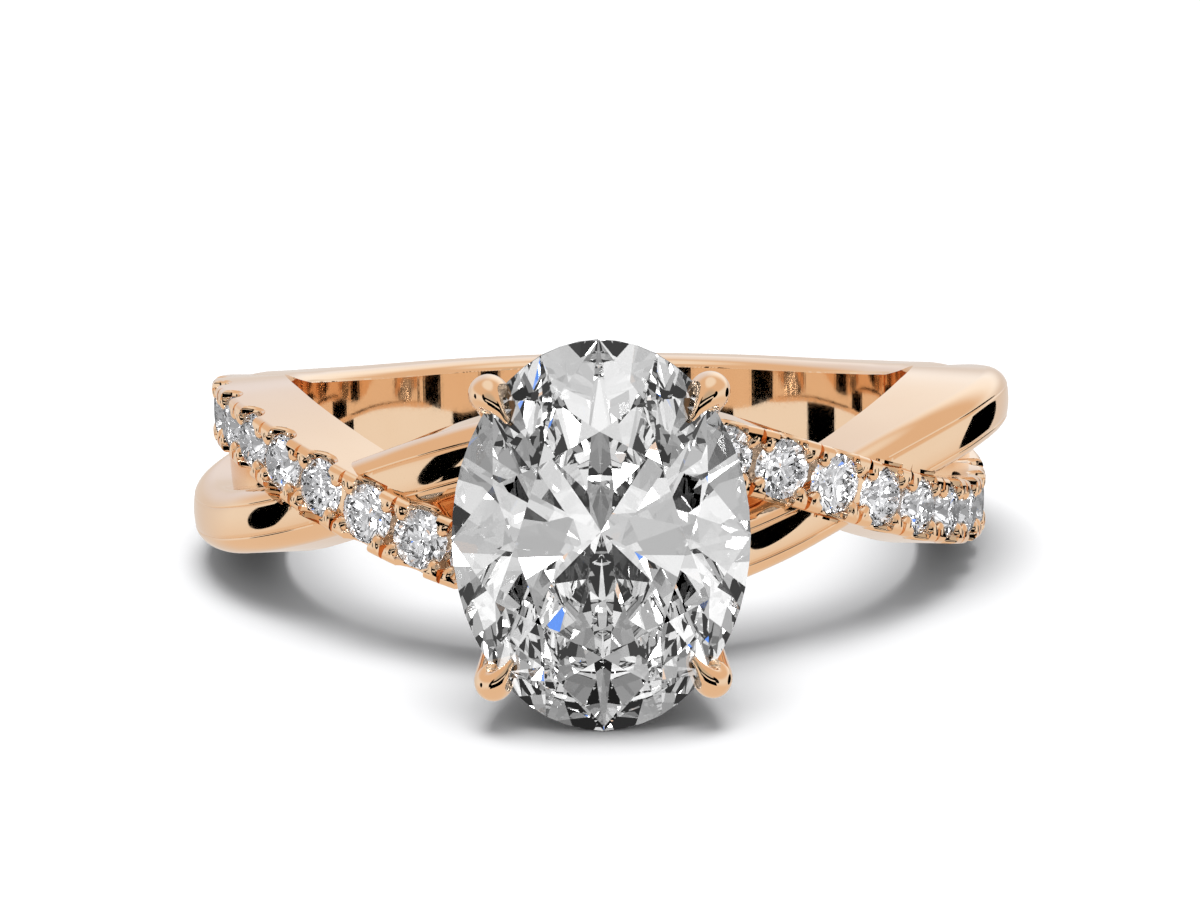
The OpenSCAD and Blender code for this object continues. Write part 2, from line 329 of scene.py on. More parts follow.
def claw(sx, sz):
    rim = Vector((OVAL_W / 2 * math.cos(math.pi / 4), OVAL_L / 2 * math.sin(math.pi / 4)))
    away = rim.normalized()
    bend_at, tip_at = rim + away * BEND_OUT, rim - away * POINT_IN
    root_azimuth = math.degrees(math.atan2(*CLAW_ROOT))
    root = Vector((sx * CLAW_ROOT[0], -CLAW_ROOT[1], sz * height(root_azimuth)))
    bend = Vector((sx * bend_at.x, -GIRDLE_Y + BEND_BELOW, sz * bend_at.y))
    tip = Vector((sx * tip_at.x, -GIRDLE_Y - POINT_ABOVE, sz * tip_at.y))
    straight = (bend - root).normalized()
    over = Vector((-sx * away.x, 0, -sz * away.y))
    path = [root, bend - straight * BEFORE_BEND, bend + straight * PAST_BEND - over * BULGE, tip]
    side = straight.cross(over).normalized()
    rings = []
    for i in range(CLAW_STEPS + 1):
        s = i / CLAW_STEPS
        point, ahead = bezier(path, s)
        r = smooth(CLAW_SHAPE, s, CLAW_R)
        across = ahead.cross(side).normalized()
        rings.append([point + r * (side * math.cos(a) + across * math.sin(a))
                      for a in (math.tau * j / CLAW_SIDES for j in range(CLAW_SIDES))])
    point, ahead = bezier(path, 1)
    r = CLAW_SHAPE[-1][CLAW_R]
    last_ring = rings[-1]
    for t in map(math.radians, POINT_TURNS):
        rings.append([point + ahead * r * math.sin(t) + (p - point) * math.cos(t) for p in last_ring])
    return loft("claw", rings)


claws = [claw(sx, sz) for sx in (-1, 1) for sz in (-1, 1)]
print("claws:", len(claws))

# %% [markdown]
# ## Nodes for materials and for rows
# One small function adds a node with its settings and links. It serves the materials and the
# Geometry Nodes trees that follow. Colours are written as sRGB hex values, as a paint chart
# gives them, and turned to the linear values that the renderer mixes light with.

# %% One function for a node, one for a colour
# several inputs of a Mix node share a name, so its colours go by number
MIX_A, MIX_B, MIX_RESULT = 6, 7, 2


def add_node(tree, kind, inputs=None, **settings):
    node = tree.nodes.new(kind)
    for name, value in settings.items():
        setattr(node, name, value)
    for name, value in (inputs or {}).items():
        if isinstance(value, bpy.types.NodeSocket):
            tree.links.new(value, node.inputs[name])
        else:
            node.inputs[name].default_value = value
    return node


def linear(code):
    channels = [int(code[i:i + 2], 16) / 255 for i in (1, 3, 5)]
    return [c / 12.92 if c <= 0.04045 else ((c + 0.055) / 1.055) ** 2.4 for c in channels] + [1.0]


def new_material(name):
    material = bpy.data.materials.new(name)
    material.use_nodes = True
    material.node_tree.nodes.clear()
    return material, material.node_tree


# %% [markdown]
# ## Rose gold
# 14 carat rose gold is gold with copper and a little silver, cast, sanded and polished on soft
# wheels. The eye sees a warm mirror. The wheel leaves a slight waviness a millimetre or two
# across and marks too fine to see, which only soften reflections here and there.

# %% Polished rose gold
WAVE_MM = 1.6
# real marks are some hundredths of a millimetre apart, drawn coarser here so that they show
MARK_MM = 0.12


def polished_rose_gold():
    material, tree = new_material("polished_rose_gold")
    place_on_metal = add_node(tree, "ShaderNodeTexCoord")
    in_mm = add_node(tree, "ShaderNodeVectorMath",
                     {0: place_on_metal.outputs["Object"], "Scale": 1 / MM}, operation="SCALE")
    waves = add_node(tree, "ShaderNodeTexNoise",
                     {"Vector": in_mm.outputs[0], "Scale": 1 / WAVE_MM, "Detail": 1.0})
    marks = add_node(tree, "ShaderNodeTexNoise",
                     {"Vector": in_mm.outputs[0], "Scale": 1 / MARK_MM, "Detail": 3.0, "Roughness": 0.6})
    colour = add_node(tree, "ShaderNodeMix",
                      {"Factor": waves.outputs["Fac"], MIX_A: linear("#F3D6B8"), MIX_B: linear("#F0D0B0")},
                      data_type="RGBA")
    roughness = add_node(tree, "ShaderNodeMapRange",
                         {"Value": marks.outputs["Fac"], "From Min": 0.35, "From Max": 0.75,
                          "To Min": 0.03, "To Max": 0.075})
    bump = add_node(tree, "ShaderNodeBump",
                    {"Height": waves.outputs["Fac"], "Strength": 0.15, "Distance": 0.01 * MM})
    metal_shader = add_node(tree, "ShaderNodeBsdfPrincipled",
                            {"Base Color": colour.outputs[MIX_RESULT], "Metallic": 1.0,
                             "Roughness": roughness.outputs["Result"], "Normal": bump.outputs["Normal"]})
    add_node(tree, "ShaderNodeOutputMaterial", {"Surface": metal_shader.outputs[0]})
    return material


rose_gold = polished_rose_gold()
print("metal:", rose_gold.name)

# %% [markdown]
# ## Rows along a strand
# A setter cuts a seat for each stone, opens the wall beside it with a round file, splits the
# metal between two stones with a thin one, and pushes up small beads over the stones' edges.
# Each of these is one tool or bead repeated along both strands, so each is a Geometry Nodes
# tree that puts it on a row of points. The points carry the way that the tool faces.

# %% Points of a row
STONES = 9
# azimuths: the first stone's, and from one to the next
STONE_FIRST, STONE_STEP = 16.8, 8.65
STONE_R = 0.75
STONE_GIRDLE_R = 10.36


def row_points(name, azimuths, radius, sides=(1,), across=0.0, along=0.0):
    """Points on both stone set strands, each with the turn of a tool that stands on it.
    The tool's X is along the strand, Z outwards, and Y across the strand, away from its middle."""
    verts, turns = [], []
    for azimuth in azimuths:
        outwards = place(azimuth, 1, 0)
        ahead = (place(azimuth + 0.5, radius, height(azimuth + 0.5))
                 - place(azimuth - 0.5, radius, height(azimuth - 0.5))).normalized()
        sideways = outwards.cross(ahead).normalized()
        for side in sides:
            spot = place(azimuth, radius, height(azimuth)) + side * (sideways * across + ahead * along)
            stand = Matrix((ahead * side, sideways * side, outwards)).transposed().to_4x4()
            for turned in (Matrix.Identity(4), half_turn):
                verts.append(turned @ spot)
                turns.append((turned @ stand).to_euler())
    mesh = bpy.data.meshes.new(name)
    mesh.from_pydata(verts, [], [])
    facing = mesh.attributes.new("facing", "FLOAT_VECTOR", "POINT")
    for i, turn in enumerate(turns):
        facing.data[i].vector = turn[:]
    row = bpy.data.objects.new(name, mesh)
    bpy.context.collection.objects.link(row)
    return row


stone_azimuths = [STONE_FIRST + STONE_STEP * i for i in range(STONES)]
post_azimuths = [STONE_FIRST + STONE_STEP * (i - 0.5) for i in range(STONES + 1)]
print("stones a side:", len(stone_azimuths), "posts a side:", len(post_azimuths))

# %% [markdown]
# ## One tree for every row
# All rows share one plan: an instance of a tool on each point, turned as the point says. Instances
# are only drawn, not real geometry, so Realize Instances turns them into a mesh that a boolean
# can cut with.

# %% A tree that puts one tool on every point


def row_tree(name, tool, sizes):
    """tool adds the nodes of one tool to the tree, from its named sizes, and returns its mesh."""
    tree = bpy.data.node_groups.new(name, "GeometryNodeTree")
    tree.interface.new_socket("Points", in_out="INPUT", socket_type="NodeSocketGeometry")
    for size in sizes:
        tree.interface.new_socket(size, in_out="INPUT", socket_type="NodeSocketFloat")
    tree.interface.new_socket("Row", in_out="OUTPUT", socket_type="NodeSocketGeometry")
    given = add_node(tree, "NodeGroupInput")
    facing = add_node(tree, "GeometryNodeInputNamedAttribute", {"Name": "facing"}, data_type="FLOAT_VECTOR")
    copies = add_node(tree, "GeometryNodeInstanceOnPoints",
                      {"Points": given.outputs["Points"], "Instance": tool(tree, given.outputs),
                       "Rotation": facing.outputs["Attribute"]})
    real = add_node(tree, "GeometryNodeRealizeInstances", {"Geometry": copies.outputs["Instances"]})
    finished = add_node(tree, "GeometryNodeSetMaterial",
                        {"Geometry": real.outputs["Geometry"], "Material": rose_gold})
    add_node(tree, "NodeGroupOutput", {"Row": finished.outputs["Geometry"]})
    return tree


def run_row(row, tree, sizes):
    """Run the tree on the row's points and keep its result as a plain mesh."""
    modifier = row.modifiers.new("row", "NODES")
    modifier.node_group = tree
    for item in tree.interface.items_tree:
        if item.in_out == "INPUT" and item.name in sizes:
            modifier[item.identifier] = sizes[item.name]
    result = bpy.data.meshes.new_from_object(row.evaluated_get(bpy.context.evaluated_depsgraph_get()))
    row.modifiers.clear()
    row.data = result
    tidy(result)
    return row


# %% [markdown]
# ## Drill, round file, notching file and prongs
# The drill opens the channel to a stone's size. The round file is laid across the strand and
# rocked, so its cut flares at the outside. The notching file is a thin pyramid that splits a
# post from the inside, and the two prongs that it leaves are pushed a little over the stones.

# %% Drill and round file
TOOL_SIDES = 48
FILE_STEPS = 81


def drill_tool(tree, size):
    drill = add_node(tree, "GeometryNodeMeshCylinder",
                     {"Vertices": TOOL_SIDES, "Radius": size["Radius"], "Depth": size["Depth"]})
    return drill.outputs["Mesh"]


def round_file_tool(tree, size):
    """A bar across the strand whose last Flare of length widens like a trumpet."""
    half = add_node(tree, "ShaderNodeMath", {0: size["Depth"], 1: 2.0}, operation="DIVIDE")
    minus = add_node(tree, "ShaderNodeMath", {0: half.outputs[0], 1: -1.0}, operation="MULTIPLY")
    start = add_node(tree, "ShaderNodeCombineXYZ", {"Y": minus.outputs[0]})
    end = add_node(tree, "ShaderNodeCombineXYZ", {"Y": half.outputs[0]})
    line = add_node(tree, "GeometryNodeCurvePrimitiveLine",
                    {"Start": start.outputs[0], "End": end.outputs[0]})
    steps = add_node(tree, "GeometryNodeResampleCurve", {"Curve": line.outputs["Curve"], "Count": FILE_STEPS})
    where = add_node(tree, "GeometryNodeInputPosition")
    split = add_node(tree, "ShaderNodeSeparateXYZ", {0: where.outputs["Position"]})
    out = add_node(tree, "ShaderNodeMath", {0: split.outputs["Y"]}, operation="ABSOLUTE")
    past = add_node(tree, "ShaderNodeMath", {0: out.outputs[0], 1: size["Wall"]}, operation="SUBTRACT")
    flared = add_node(tree, "ShaderNodeMath", {0: past.outputs[0], 1: size["Flare"]}, operation="ADD")
    share = add_node(tree, "ShaderNodeMath", {0: flared.outputs[0], 1: size["Flare"]}, operation="DIVIDE",
                     use_clamp=True)
    square = add_node(tree, "ShaderNodeMath", {0: share.outputs[0], 1: 2.0}, operation="POWER")
    rest = add_node(tree, "ShaderNodeMath", {0: 1.0, 1: square.outputs[0]}, operation="SUBTRACT")
    root = add_node(tree, "ShaderNodeMath", {0: rest.outputs[0]}, operation="SQRT")
    drop = add_node(tree, "ShaderNodeMath", {0: 1.0, 1: root.outputs[0]}, operation="SUBTRACT")
    wider = add_node(tree, "ShaderNodeMath", {0: drop.outputs[0], 1: size["Flare"], 2: size["Radius"]},
                     operation="MULTIPLY_ADD")
    circle = add_node(tree, "GeometryNodeCurvePrimitiveCircle", {"Resolution": TOOL_SIDES, "Radius": 1.0})
    bar = add_node(tree, "GeometryNodeCurveToMesh",
                   {"Curve": steps.outputs["Curve"], "Profile Curve": circle.outputs["Curve"],
                    "Fill Caps": True, "Scale": wider.outputs[0]})
    return bar.outputs["Mesh"]


# %% Notching file and prong
# sizes along the strand, across it and outwards, as shares of the plain pyramid and ball
PYRAMID_SHARES = (0.5, 1.0, 2.0)
PRONG_SHARES = (1.0, 1.45, 0.9)


def notching_file_tool(tree, size):
    """A pyramid laid across the strand, its point away from the middle."""
    pyramid = add_node(tree, "GeometryNodeMeshCone",
                       {"Vertices": 4, "Radius Top": 0.0, "Radius Bottom": size["Radius"],
                        "Depth": size["Depth"]})
    laid = add_node(tree, "GeometryNodeTransform",
                    {"Geometry": pyramid.outputs["Mesh"], "Rotation": (-math.pi / 2, 0, 0)})
    narrow = add_node(tree, "GeometryNodeTransform",
                      {"Geometry": laid.outputs["Geometry"], "Scale": PYRAMID_SHARES})
    return narrow.outputs["Geometry"]


def prong_tool(tree, size):
    """A long rounded bead across the strand, turned Splay about its own upright axis."""
    ball = add_node(tree, "GeometryNodeMeshIcoSphere", {"Radius": size["Radius"], "Subdivisions": 4})
    longer = add_node(tree, "GeometryNodeTransform",
                      {"Geometry": ball.outputs["Mesh"], "Scale": PRONG_SHARES})
    turn = add_node(tree, "ShaderNodeCombineXYZ", {"Z": size["Splay"]})
    splayed = add_node(tree, "GeometryNodeTransform",
                       {"Geometry": longer.outputs["Geometry"], "Rotation": turn.outputs[0]})
    return splayed.outputs["Geometry"]


# %% [markdown]
# ## Soldering and cutting
# Boolean modifiers do what the bench does: the bars are soldered into one piece, and the
# tools' rows are cut away. Blender's Manifold solver is quick and keeps the result closed.

# %% Join and cut


def combine(target, tool, operation):
    """Solder a tool's shape to the target or cut it out. The tool is used up."""
    modifier = target.modifiers.new("combine", "BOOLEAN")
    modifier.operation = operation
    modifier.solver = "MANIFOLD"
    modifier.object = tool
    result = bpy.data.meshes.new_from_object(target.evaluated_get(bpy.context.evaluated_depsgraph_get()))
    target.modifiers.clear()
    target.data = result
    bpy.data.objects.remove(tool)


metal.data.materials.append(rose_gold)
for bar in [second_strand, back] + claws:
    combine(metal, bar, "UNION")
print("soldered:", len(metal.data.vertices), "points")

# %% Cut the seats and scallops
SEAT_GAP = 0.02
DRILL_LONG = 1.0
# the drill's middle, above the girdle
DRILL_ABOVE = 0.42
FILE_R, FILE_FLARE, FILE_LONG = 0.42, 0.08, 1.84
FILE_CENTRE_R = 10.62

row = row_points("drilled", stone_azimuths, STONE_GIRDLE_R + DRILL_ABOVE)
tree = row_tree("drilled seats", drill_tool, ["Radius", "Depth"])
combine(metal, run_row(row, tree, {"Radius": STONE_R + SEAT_GAP, "Depth": DRILL_LONG}), "DIFFERENCE")
row = row_points("scallops", stone_azimuths, FILE_CENTRE_R)
tree = row_tree("scallops", round_file_tool, ["Radius", "Depth", "Wall", "Flare"])
file_sizes = {"Radius": FILE_R, "Depth": FILE_LONG, "Wall": PAVE_HALF, "Flare": FILE_FLARE}
combine(metal, run_row(row, tree, file_sizes), "DIFFERENCE")
print("cut:", len(metal.data.vertices), "points")

# %% Prongs and notches
PRONG_R, PRONG_SPLAY = 0.19, 20
PRONG_CENTRE_R = 10.46
PRONG_ACROSS, PRONG_ALONG = 0.56, 0.20
NOTCH_R, NOTCH_LONG = 0.17, 0.62
NOTCH_ACROSS, NOTCH_BELOW_RIM = 0.48, 0.02

for way in (-1, 1):
    row = row_points("prongs", post_azimuths, PRONG_CENTRE_R, (-1, 1), PRONG_ACROSS, way * PRONG_ALONG)
    tree = row_tree("prongs", prong_tool, ["Radius", "Splay"])
    combine(metal, run_row(row, tree, {"Radius": PRONG_R, "Splay": way * math.radians(PRONG_SPLAY)}), "UNION")
row = row_points("notches", post_azimuths, RIM_R - NOTCH_BELOW_RIM, (-1, 1), NOTCH_ACROSS)
tree = row_tree("notches", notching_file_tool, ["Radius", "Depth"])
combine(metal, run_row(row, tree, {"Radius": NOTCH_R, "Depth": NOTCH_LONG}), "DIFFERENCE")
print("with prongs:", len(metal.data.vertices), "points")

# %% [markdown]
# ## Seats that fit the stones
# Each stone's own shape, a hair larger, is taken out of the metal, so that claws and prongs
# touch the stones as a setter leaves them, and nothing runs into a stone. Last, the finger hole
# is bored through all that reaches into it.

# %% Fit every stone
# how far a stone's farthest corner is moved out
TOUCH_GAP = 0.012
SAME_CORNER = 1e-4
to_ring = RING_TO_FRAME.inverted()
fitted = bpy.data.meshes.new("stones_enlarged")
bm = bmesh.new()
for name, stone in frame["nodes"].items():
    if name != "band":
        copied = bmesh.new()
        copied.from_mesh(stone.data)
        bmesh.ops.transform(copied, matrix=to_ring, verts=copied.verts)
        bmesh.ops.remove_doubles(copied, verts=copied.verts, dist=SAME_CORNER)
        middle = sum((v.co for v in copied.verts), Vector()) / len(copied.verts)
        reach = max((v.co - middle).length for v in copied.verts)
        for v in copied.verts:
            v.co = middle + (v.co - middle) * (1 + TOUCH_GAP / reach)
        one = bpy.data.meshes.new(name + "_enlarged")
        copied.to_mesh(one)
        bm.from_mesh(one)
        copied.free()
        bpy.data.meshes.remove(one)
bm.to_mesh(fitted)
bm.free()
seats = bpy.data.objects.new("stones_enlarged", fitted)
bpy.context.collection.objects.link(seats)
combine(metal, seats, "DIFFERENCE")
print("fitted to:", len(frame["nodes"]) - 1, "stones")

# %% Bore the finger hole
BORE_SIDES, BORE_REACH = 512, 6

bore = loft("bore", [[Vector((BORE_R * math.cos(a), BORE_R * math.sin(a), z))
                      for a in (math.tau * j / BORE_SIDES for j in range(BORE_SIDES))]
                     for z in (-BORE_REACH, BORE_REACH)])
combine(metal, bore, "DIFFERENCE")
print("bored:", len(metal.data.vertices), "points", len(metal.data.polygons), "faces")

# %% [markdown]
# ## Into place
# The finished metal is turned from the ring's own axes to where it rests, in metres. Faces that
# meet at more than a small angle keep their edge, and all others shade as one polished surface.

# %% Turn, shade and hand over the metal
EDGE_ANGLE = 13

metal.data.transform(RING_TO_FRAME)
metal.data.shade_smooth()
metal.data.set_sharp_from_angle(angle=math.radians(EDGE_ANGLE))
even = metal.modifiers.new("even", "WEIGHTED_NORMAL")
even.keep_sharp = True
metal.data = bpy.data.meshes.new_from_object(metal.evaluated_get(bpy.context.evaluated_depsgraph_get()))
metal.modifiers.clear()
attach(metal, "root")
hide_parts("band")
metal_low = [round(min(v.co[k] for v in metal.data.vertices) / MM, 2) for k in range(3)]
metal_high = [round(max(v.co[k] for v in metal.data.vertices) / MM, 2) for k in range(3)]
print("metal from, mm:", metal_low, "to:", metal_high)

# %% [markdown]
# ## Diamond
# Diamond is clear and bends light more than any glass, so a cut stone sends most light back out
# at the top. Each facet is polished flat on an iron wheel, so the stones shade flat. The imported
# stones have the right cut and only need this finish.

# %% Cut and polished diamond
DIAMOND_IOR = 2.417


def cut_diamond(name, tint):
    material, tree = new_material(name)
    stone = add_node(tree, "ShaderNodeBsdfPrincipled",
                     {"Base Color": linear(tint), "Roughness": 0.0, "IOR": DIAMOND_IOR,
                      "Transmission Weight": 1.0})
    add_node(tree, "ShaderNodeOutputMaterial", {"Surface": stone.outputs[0]})
    return material


centre_diamond = cut_diamond("cut_diamond_centre", "#FFFFFF")
small_diamond = cut_diamond("cut_diamond_small", "#FDFDFF")
for name, stone in frame["nodes"].items():
    if name != "band":
        stone.data.materials.clear()
        stone.data.materials.append(centre_diamond if name == "centre_stone" else small_diamond)
        stone.data.shade_flat()
print("stones finished:", len(frame["nodes"]) - 1)

# %% [markdown]
# ## The studio
# A jewel mirrors everything round it, so a photographer lights the surroundings rather than the
# jewel: a white tent all round, cooler daylight behind, and black cards that draw crisp dark
# shapes in the metal. The matt paper under the ring gets its light and soft shadows from a plain
# white world and one wide lamp overhead, which mirrors and stones don't see.

# %% Floor
HALF_FLOOR = 1.0


def flat_sheet(name, corners, material):
    mesh = bpy.data.meshes.new(name)
    mesh.from_pydata(corners, [], [(0, 1, 2, 3)])
    mesh.materials.append(material)
    sheet = bpy.data.objects.new(name, mesh)
    bpy.context.collection.objects.link(sheet)
    return sheet


paper, paper_tree = new_material("matt_white_paper")
paper_shader = add_node(paper_tree, "ShaderNodeBsdfPrincipled",
                        {"Base Color": linear("#FAFAFB"), "Roughness": 0.9, "Specular IOR Level": 0.0})
add_node(paper_tree, "ShaderNodeOutputMaterial", {"Surface": paper_shader.outputs[0]})
corners = [(x * HALF_FLOOR, y * HALF_FLOOR, 0) for x, y in ((-1, -1), (1, -1), (1, 1), (-1, 1))]
floor = flat_sheet("pale_floor", corners, paper)
floor.visible_glossy = False
floor.visible_transmission = False
print("floor, m across:", 2 * HALF_FLOOR)

# %% World and lamp
RING_CENTRE = Vector(finger["pos_m"])
WORLD_STRENGTH = 0.56
LAMP_DISTANCE, LAMP_SIZE = 1.20, 0.80
LAMP_ELEVATION, LAMP_WATTS = 86, 12.0

world = bpy.data.worlds.new("white_room")
bpy.context.scene.world = world
world.use_nodes = True
world.node_tree.nodes["Background"].inputs["Color"].default_value = linear("#FFFFFF")
world.node_tree.nodes["Background"].inputs["Strength"].default_value = WORLD_STRENGTH
world.cycles_visibility.glossy = False
world.cycles_visibility.transmission = False


def towards(azimuth, elevation):
    """Direction from the ring: azimuth 0 is in front, 90 to the right."""
    a, e = math.radians(azimuth), math.radians(elevation)
    return Vector((math.sin(a) * math.cos(e), -math.cos(a) * math.cos(e), math.sin(e)))


overhead = bpy.data.lights.new("overhead_softbox", "AREA")
overhead.energy = LAMP_WATTS
overhead.size = LAMP_SIZE
holder = bpy.data.objects.new("overhead_softbox", overhead)
above = towards(0, LAMP_ELEVATION)
holder.location = RING_CENTRE + above * LAMP_DISTANCE
holder.rotation_euler = above.to_track_quat("Z", "Y").to_euler()
holder.visible_glossy = False
holder.visible_transmission = False
bpy.context.collection.objects.link(holder)
print("lamp over the ring, m:", LAMP_DISTANCE, "its size, m:", LAMP_SIZE)

# %% [markdown]
# ## Two tents
# Metal and stones are photographed best in different rooms. Metal wants wide, even cloth, bright
# and cool behind, warmer above the sides and below. Stones want contrast: panels of many greys,
# darker behind, with lamps and black cards. Catalogue pictures are put together from both. Here
# two balls of cloth stand round the ring, and light linking lets one light the metal alone and
# the other the stones alone. The stones' ball is inside the metal's and clear to its rays.

# %% Colours that fade from one direction to another


def direction_ramps(tree):
    """The direction from the middle, and a function that fades one colour into another along it."""
    spot = add_node(tree, "ShaderNodeTexCoord")
    unit = add_node(tree, "ShaderNodeVectorMath", {0: spot.outputs["Object"]}, operation="NORMALIZE")
    part = add_node(tree, "ShaderNodeSeparateXYZ", {0: unit.outputs[0]})

    def ramp(value, low, high, first, second):
        share = add_node(tree, "ShaderNodeMapRange", {"Value": value, "From Min": low, "From Max": high},
                         interpolation_type="SMOOTHSTEP")
        ends = {MIX_A: linear(first) if isinstance(first, str) else first,
                MIX_B: linear(second) if isinstance(second, str) else second}
        mix = add_node(tree, "ShaderNodeMix", {"Factor": share.outputs["Result"], **ends}, data_type="RGBA")
        return mix.outputs[MIX_RESULT]

    return part.outputs["X"], part.outputs["Y"], part.outputs["Z"], ramp


# %% Cloth for the metal
METAL_GLOW = 1.2


def metal_tent_cloth():
    """Each ramp: along which direction, from where to where, and the two colours."""
    material, tree = new_material("lit_cloth_for_metal")
    right, back, up, ramp = direction_ramps(tree)
    colour = ramp(up, -0.6, -0.1, "#DDCAB6", "#E6E4E0")
    upper = ramp(back, -0.9, -0.5, "#BCB5AA", "#DAC2AA")
    colour = ramp(up, 0.05, 0.35, colour, upper)
    colour = ramp(up, 0.80, 0.95, colour, "#EAE9E6")
    behind = ramp(right, -0.3, 0.3, "#DBDEE9", "#F6FBFF")
    behind = ramp(up, -0.05, 0.20, "#D3CCC6", behind)
    colour = ramp(back, 0.40, 0.85, colour, behind)
    glow = add_node(tree, "ShaderNodeEmission", {"Color": colour, "Strength": METAL_GLOW})
    add_node(tree, "ShaderNodeOutputMaterial", {"Surface": glow.outputs[0]})
    return material


# %% [markdown]
# ## The stones' cloth
# A stone shows this cloth twice: through its top, after many turns from facet to facet, and
# faintly mirrored on its outside. The mirrored one is dimmed, so that it doesn't veil the
# pattern from within. Voronoi cells are the panels, each with its own grey.

# %% Cloth for the stones
TENT_R, INNER_TENT_R = 0.95, 0.94
FACET_MIRROR = 0.38
PANELS_PER_RADIUS, DARKEST_PANEL, LIGHTEST_PANEL = 3.5, 0.52, 1.25


def stone_tent_cloth():
    """Full strength for rays out of a stone, less for what its facets mirror, clear for the metal."""
    material, tree = new_material("lit_cloth_for_stones")
    right, back, up, ramp = direction_ramps(tree)
    colour = ramp(back, -0.91, -0.71, "#E4E4E4", "#EDEDED")
    colour = ramp(up, 0.59, 0.70, colour, "#FDFDFD")
    colour = ramp(up, -0.21, -0.34, colour, "#EAEAEA")
    colour = ramp(up, -0.67, -0.77, colour, "#A0A0A0")
    colour = ramp(back, 0.0, 0.12, colour, "#ADADAD")
    brighter = add_node(tree, "ShaderNodeMapRange",
                        {"Value": right, "From Min": -0.7, "From Max": 0.7, "To Min": 0.92, "To Max": 1.24})
    ray = add_node(tree, "ShaderNodeLightPath")
    inside = add_node(tree, "ShaderNodeMapRange",
                      {"Value": ray.outputs["Is Transmission Ray"], "To Min": FACET_MIRROR, "To Max": 1.0})
    whole = add_node(tree, "ShaderNodeMath", {0: brighter.outputs["Result"], 1: inside.outputs["Result"]},
                     operation="MULTIPLY")
    spot = add_node(tree, "ShaderNodeTexCoord")
    panels = add_node(tree, "ShaderNodeTexVoronoi",
                      {"Vector": spot.outputs["Object"], "Scale": PANELS_PER_RADIUS / INNER_TENT_R})
    grey = add_node(tree, "ShaderNodeSeparateColor", {"Color": panels.outputs["Color"]})
    shade = add_node(tree, "ShaderNodeMapRange",
                     {"Value": grey.outputs["Red"], "To Min": DARKEST_PANEL, "To Max": LIGHTEST_PANEL})
    strength = add_node(tree, "ShaderNodeMath", {0: whole.outputs[0], 1: shade.outputs["Result"]},
                        operation="MULTIPLY")
    glow = add_node(tree, "ShaderNodeEmission", {"Color": colour, "Strength": strength.outputs[0]})
    clear = add_node(tree, "ShaderNodeBsdfTransparent")
    both = add_node(tree, "ShaderNodeAddShader", {0: glow.outputs[0], 1: clear.outputs[0]})
    add_node(tree, "ShaderNodeOutputMaterial", {"Surface": both.outputs[0]})
    return material


# %% Two balls of cloth
TENT_SEGMENTS, TENT_RINGS = 64, 32


def seen_by(piece, mirrored, through):
    """Seen by mirror rays, by rays out of a stone or both, never by the camera. Casts no shadow."""
    piece.visible_camera = False
    piece.visible_diffuse = False
    piece.visible_shadow = False
    piece.visible_volume_scatter = False
    piece.visible_glossy = mirrored
    piece.visible_transmission = through


def tent(name, radius, cloth, lights, through):
    """A ball of cloth that lights only the given pieces."""
    ball = bmesh.new()
    bmesh.ops.create_uvsphere(ball, u_segments=TENT_SEGMENTS, v_segments=TENT_RINGS, radius=radius)
    bmesh.ops.reverse_faces(ball, faces=ball.faces)
    mesh = bpy.data.meshes.new(name)
    ball.to_mesh(mesh)
    ball.free()
    mesh.materials.append(cloth)
    made = bpy.data.objects.new(name, mesh)
    bpy.context.collection.objects.link(made)
    seen_by(made, True, through)
    chosen = bpy.data.collections.new(name + "_lights")
    for piece in lights:
        chosen.objects.link(piece)
    made.light_linking.receiver_collection = chosen


stones = [piece for name, piece in frame["nodes"].items() if name != "band"]
tent("tent_for_metal", TENT_R, metal_tent_cloth(), [metal], False)
tent("tent_for_stones", INNER_TENT_R, stone_tent_cloth(), stones, True)
# rays out of a stone pass by the metal, or its facets would show gold instead of the studio
metal.visible_transmission = False
print("tents, radius in m:", TENT_R, INNER_TENT_R)

# %% [markdown]
# ## Cards and lamps
# Black cards stand where the metal should show a crisp dark shape, and where the stones need a
# dark facet. Two long ones across the front, bent round the ring, draw dark crescents on each
# claw and bead. Small lamps give the stones their sparkle. Diamond spreads a lamp's edge into
# colours, its fire, so each lamp has a blue strip on one side and an orange one on the other.

# %% Where they stand
# azimuth from, to, elevation from, to
METAL_CARDS = [(-54, -39, -18, 26), (40, 61, -12, 22), (-102, -87, -19, 4), (108, 137, -26, 1)]
# the long cards are made of narrow parts, which follow the bend
LONG_CARD_END, LONG_CARD_PART = 42, 12
LONG_CARD_HEIGHTS = [(-28, -6), (2, 14)]
LONG_CARDS = [(azimuth, azimuth + LONG_CARD_PART, *heights)
              for azimuth in range(-LONG_CARD_END, LONG_CARD_END, LONG_CARD_PART)
              for heights in LONG_CARD_HEIGHTS]
STONE_CARDS = [(-26, 26, 42, 62), (-50, -36, 14, 30), (30, 42, -10, 2), (-62, -50, -44, -24),
               (40, 56, -50, -34), (-10, 10, -62, -46), (34, 48, 60, 70), (-9, -2, -32, -20),
               (-30, -22, -8, 4)]
# azimuth, elevation of a lamp's middle
LAMPS = [(-20, 36), (20, 37), (34, -16), (-26, -30), (6, -24), (48, 20), (-50, 12), (-12, -38), (26, 8),
         (-22, 14), (62, -30), (-66, -22), (24, -44), (-38, 32), (30, 52)]
LAMP_REACH, FRINGE = 4.2, 0.9
print("cards for the metal:", len(METAL_CARDS), "and", len(LONG_CARD_HEIGHTS), "long ones,",
      "for the stones:", len(STONE_CARDS), "lamps:", len(LAMPS))

